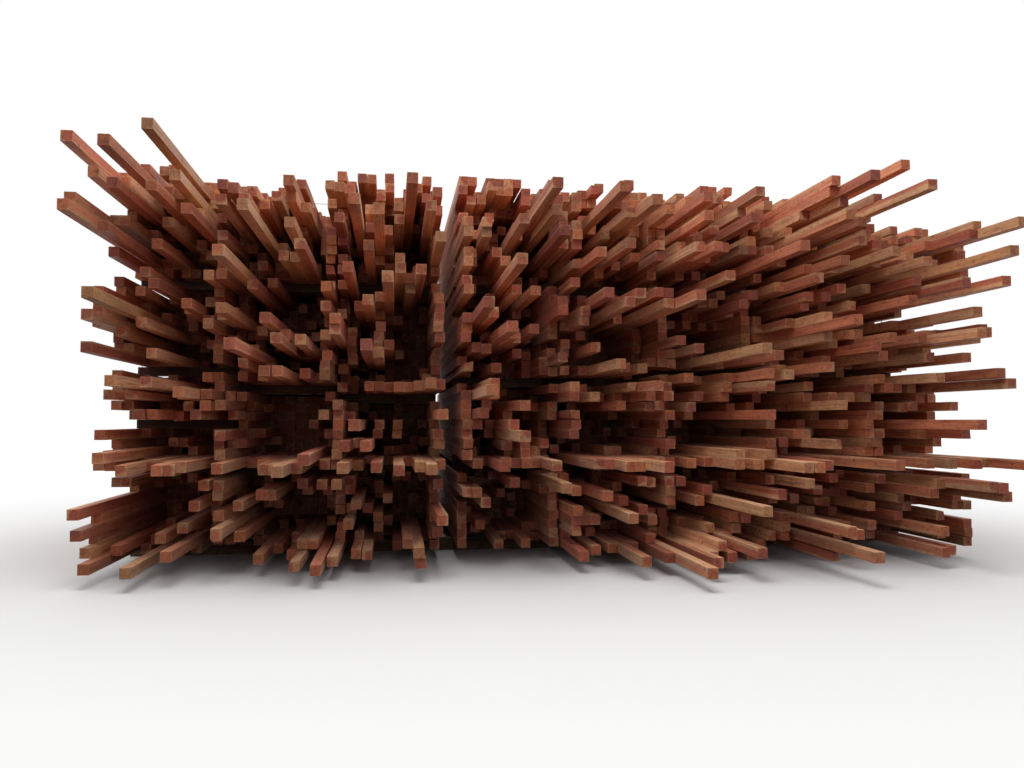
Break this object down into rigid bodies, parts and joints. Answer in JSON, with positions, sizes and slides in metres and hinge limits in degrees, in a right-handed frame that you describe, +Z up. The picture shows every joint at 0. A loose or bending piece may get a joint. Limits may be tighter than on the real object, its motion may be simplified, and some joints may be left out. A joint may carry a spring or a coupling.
{
  "type": "stack of lumber",
  "caption": "Yard stack of long square rough-sawn timbers in strapped units, side by side and piled on bunks, with an uneven front and an even back.",
  "frame": {"origin": "on the ground, at the middle of the bounding box", "axes": "+X to the right along the ragged face, +Y from the ragged face to the even back, +Z up"},
  "size_m": [9.273, 6.45, 4.2146],
  "materials": {
    "timber": "rough sawn softwood, damp, reddish, with some paler and yellower pieces",
    "bunk": "rough sawn, damp, darker and dirtier than the timbers",
    "strap": "zinc coated strapping, dull"
  },
  "bodies": {
    "root": {"bunks_under_tier_2": "bunk", "bunks_under_tier_3": "bunk", "bunks_under_tier_4": "bunk", "bunks_under_tier_5": "bunk", "column_1_tier_1_timbers": "timber", "column_1_tier_2_timbers": "timber", "column_1_tier_3_timbers": "timber", "column_1_tier_4_timbers": "timber", "column_1_tier_5_timbers": "timber", "column_2_tier_1_timbers": "timber", "column_2_tier_2_timbers": "timber", "column_2_tier_3_timbers": "timber", "column_2_tier_4_timbers": "timber", "column_3_tier_1_timbers": "timber", "column_3_tier_2_timbers": "timber", "column_3_tier_3_timbers": "timber", "column_3_tier_4_timbers": "timber", "column_4_tier_1_timbers": "timber", "column_4_tier_2_timbers": "timber", "column_4_tier_3_timbers": "timber", "column_4_tier_4_timbers": "timber", "column_5_tier_1_timbers": "timber", "column_5_tier_2_timbers": "timber", "column_5_tier_3_timbers": "timber", "column_5_tier_4_timbers": "timber", "column_6_tier_1_timbers": "timber", "column_6_tier_2_timbers": "timber", "column_6_tier_3_timbers": "timber", "column_6_tier_4_timbers": "timber", "column_7_tier_1_timbers": "timber", "column_7_tier_2_timbers": "timber", "column_7_tier_3_timbers": "timber", "column_7_tier_4_timbers": "timber", "column_8_tier_1_timbers": "timber", "column_8_tier_2_timbers": "timber", "column_8_tier_3_timbers": "timber", "column_8_tier_4_timbers": "timber", "ground_bunks": "bunk", "straps_tier_1": "strap", "straps_tier_2": "strap", "straps_tier_3": "strap", "straps_tier_4": "strap", "straps_tier_5": "strap"}
  },
  "joints": []
}
